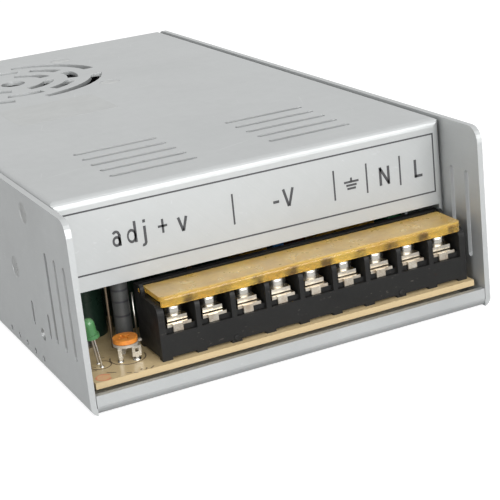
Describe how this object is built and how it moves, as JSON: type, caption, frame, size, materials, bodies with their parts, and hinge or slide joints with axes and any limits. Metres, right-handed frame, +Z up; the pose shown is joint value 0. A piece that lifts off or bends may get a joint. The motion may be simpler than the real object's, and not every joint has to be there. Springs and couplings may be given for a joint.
{
  "type": "mesh case switching power supply",
  "caption": "Folded aluminium case power supply with a vented cover, fan, full circuit board, and a row of barrier screw terminals under a hinged strip.",
  "frame": {"origin": "centre of the rectangle the case stands on, on the underside of the chassis", "axes": "+Z up, +Y from the terminal end towards the rear wall, +X to the right when facing the terminals"},
  "size_m": [0.113, 0.215, 0.0488],
  "materials": {
    "case_sheet": "satin",
    "screw_steel": "satin",
    "insulation_film": "matte",
    "board_laminate": "satin",
    "spacer_brass": "satin",
    "block_plastic": "satin",
    "contact_plate": "satin",
    "terminal_nickel": "satin",
    "amber_plastic": "glossy",
    "lamp_lens": "glossy",
    "tinned_wire": "satin",
    "trimmer_plate": "satin",
    "trimmer_orange": "satin",
    "resistor_coat": "satin",
    "fan_plastic": "satin",
    "header_nylon": "satin",
    "ferrite": "matte",
    "coil_tape": "satin",
    "core_green": "satin",
    "core_yellow": "satin",
    "copper_wire": "glossy",
    "sleeve_blue": "glossy",
    "sleeve_green": "glossy",
    "bar_aluminium": "satin",
    "mould_black": "matte",
    "fuse_glass": "glossy",
    "clip_brass": "satin",
    "disc_green": "satin",
    "film_yellow": "satin",
    "disc_blue": "satin",
    "sleeve_black": "glossy",
    "resistor_body": "satin"
  },
  "bodies": {
    "case": {"chassis": "case_sheet", "top_cover": "case_sheet", "side_screws": "screw_steel", "insulation_sheet": "insulation_film", "circuit_board": "board_laminate", "board_spacers": "spacer_brass", "board_screws": "screw_steel", "terminal_block": "block_plastic", "terminal_bases": "contact_plate", "led": "lamp_lens", "led_leads": "tinned_wire", "trimmer_frame": "trimmer_plate", "trimmer_legs": "tinned_wire", "upright_resistor": "resistor_coat", "fan_frame": "fan_plastic", "fan_screws": "screw_steel", "fan_header": "header_nylon", "transformer_core": "ferrite", "transformer_coil": "coil_tape", "choke_core": "core_green", "choke_winding": "copper_wire", "inductor_core": "core_yellow", "inductor_winding": "copper_wire", "bulk_capacitors": "sleeve_blue", "output_capacitors": "sleeve_green", "left_heat_bar": "bar_aluminium", "right_heat_bar": "bar_aluminium", "output_rectifiers": "mould_black", "power_transistors": "mould_black", "bridge_rectifier": "mould_black", "fuse": "fuse_glass", "fuse_clips": "clip_brass", "thermistor": "disc_green", "film_capacitors": "film_yellow", "disc_capacitors": "disc_blue", "drive_transformer": "coil_tape", "control_chip": "mould_black", "small_capacitors": "sleeve_black", "small_resistors": "resistor_body"},
    "terminal_cover": {"terminal_cover": "amber_plastic"},
    "trimmer_rotor": {"trimmer_rotor": "trimmer_orange"},
    "fan_rotor": {"fan_rotor": "fan_plastic"},
    "clamp_1": {"clamp_1": "contact_plate"},
    "terminal_screw_1": {"terminal_screw_1": "terminal_nickel"},
    "clamp_2": {"clamp_2": "contact_plate"},
    "terminal_screw_2": {"terminal_screw_2": "terminal_nickel"},
    "clamp_3": {"clamp_3": "contact_plate"},
    "terminal_screw_3": {"terminal_screw_3": "terminal_nickel"},
    "clamp_4": {"clamp_4": "contact_plate"},
    "terminal_screw_4": {"terminal_screw_4": "terminal_nickel"},
    "clamp_5": {"clamp_5": "contact_plate"},
    "terminal_screw_5": {"terminal_screw_5": "terminal_nickel"},
    "clamp_6": {"clamp_6": "contact_plate"},
    "terminal_screw_6": {"terminal_screw_6": "terminal_nickel"},
    "clamp_7": {"clamp_7": "contact_plate"},
    "terminal_screw_7": {"terminal_screw_7": "terminal_nickel"},
    "clamp_8": {"clamp_8": "contact_plate"},
    "terminal_screw_8": {"terminal_screw_8": "terminal_nickel"},
    "clamp_9": {"clamp_9": "contact_plate"},
    "terminal_screw_9": {"terminal_screw_9": "terminal_nickel"}
  },
  "joints": [
    {"name": "terminal_cover_hinge", "type": "hinge", "parent": "case", "child": "terminal_cover", "pos_m": [0.0086, -0.0916, 0.0225], "axis": [-1, 0, 0], "range_deg": [0, 80]},
    {"name": "trimmer_turn", "type": "hinge", "parent": "case", "child": "trimmer_rotor", "pos_m": [-0.0413, -0.0939, 0.0112], "axis": [0, 0, 1], "range_deg": [-115, 115]},
    {"name": "fan_spin", "type": "hinge", "parent": "case", "child": "fan_rotor", "pos_m": [-0.018, 0.0575, 0.04], "axis": [0, 0, 1], "continuous": true},
    {"name": "clamp_1_lift", "type": "slide", "parent": "case", "child": "clamp_1", "axis": [0, 0, 1], "range_m": [-0.0002, 0.0018]},
    {"name": "screw_1_turn", "type": "hinge", "parent": "clamp_1", "child": "terminal_screw_1", "pos_m": [-0.0295, -0.0973, 0.018], "axis": [0, 0, 1], "range_deg": [-121, 1081]},
    {"name": "clamp_2_lift", "type": "slide", "parent": "case", "child": "clamp_2", "axis": [0, 0, 1], "range_m": [-0.0002, 0.0018]},
    {"name": "screw_2_turn", "type": "hinge", "parent": "clamp_2", "child": "terminal_screw_2", "pos_m": [-0.01997, -0.0973, 0.018], "axis": [0, 0, 1], "range_deg": [-121, 1081]},
    {"name": "clamp_3_lift", "type": "slide", "parent": "case", "child": "clamp_3", "axis": [0, 0, 1], "range_m": [-0.0002, 0.0018]},
    {"name": "screw_3_turn", "type": "hinge", "parent": "clamp_3", "child": "terminal_screw_3", "pos_m": [-0.01044, -0.0973, 0.018], "axis": [0, 0, 1], "range_deg": [-121, 1081]},
    {"name": "clamp_4_lift", "type": "slide", "parent": "case", "child": "clamp_4", "axis": [0, 0, 1], "range_m": [-0.0002, 0.0018]},
    {"name": "screw_4_turn", "type": "hinge", "parent": "clamp_4", "child": "terminal_screw_4", "pos_m": [-0.00092, -0.0973, 0.018], "axis": [0, 0, 1], "range_deg": [-121, 1081]},
    {"name": "clamp_5_lift", "type": "slide", "parent": "case", "child": "clamp_5", "axis": [0, 0, 1], "range_m": [-0.0002, 0.0018]},
    {"name": "screw_5_turn", "type": "hinge", "parent": "clamp_5", "child": "terminal_screw_5", "pos_m": [0.00861, -0.0973, 0.018], "axis": [0, 0, 1], "range_deg": [-121, 1081]},
    {"name": "clamp_6_lift", "type": "slide", "parent": "case", "child": "clamp_6", "axis": [0, 0, 1], "range_m": [-0.0002, 0.0018]},
    {"name": "screw_6_turn", "type": "hinge", "parent": "clamp_6", "child": "terminal_screw_6", "pos_m": [0.01815, -0.0973, 0.018], "axis": [0, 0, 1], "range_deg": [-121, 1081]},
    {"name": "clamp_7_lift", "type": "slide", "parent": "case", "child": "clamp_7", "axis": [0, 0, 1], "range_m": [-0.0002, 0.0018]},
    {"name": "screw_7_turn", "type": "hinge", "parent": "clamp_7", "child": "terminal_screw_7", "pos_m": [0.02768, -0.0973, 0.018], "axis": [0, 0, 1], "range_deg": [-121, 1081]},
    {"name": "clamp_8_lift", "type": "slide", "parent": "case", "child": "clamp_8", "axis": [0, 0, 1], "range_m": [-0.0002, 0.0018]},
    {"name": "screw_8_turn", "type": "hinge", "parent": "clamp_8", "child": "terminal_screw_8", "pos_m": [0.03721, -0.0973, 0.018], "axis": [0, 0, 1], "range_deg": [-121, 1081]},
    {"name": "clamp_9_lift", "type": "slide", "parent": "case", "child": "clamp_9", "axis": [0, 0, 1], "range_m": [-0.0002, 0.0018]},
    {"name": "screw_9_turn", "type": "hinge", "parent": "clamp_9", "child": "terminal_screw_9", "pos_m": [0.04673, -0.0973, 0.018], "axis": [0, 0, 1], "range_deg": [-121, 1081]}
  ],
  "couplings": [
    {"joint": "screw_1_turn", "follows": "clamp_1_lift", "rad_per_m": 10472},
    {"joint": "screw_2_turn", "follows": "clamp_2_lift", "rad_per_m": 10472},
    {"joint": "screw_3_turn", "follows": "clamp_3_lift", "rad_per_m": 10472},
    {"joint": "screw_4_turn", "follows": "clamp_4_lift", "rad_per_m": 10472},
    {"joint": "screw_5_turn", "follows": "clamp_5_lift", "rad_per_m": 10472},
    {"joint": "screw_6_turn", "follows": "clamp_6_lift", "rad_per_m": 10472},
    {"joint": "screw_7_turn", "follows": "clamp_7_lift", "rad_per_m": 10472},
    {"joint": "screw_8_turn", "follows": "clamp_8_lift", "rad_per_m": 10472},
    {"joint": "screw_9_turn", "follows": "clamp_9_lift", "rad_per_m": 10472}
  ]
}
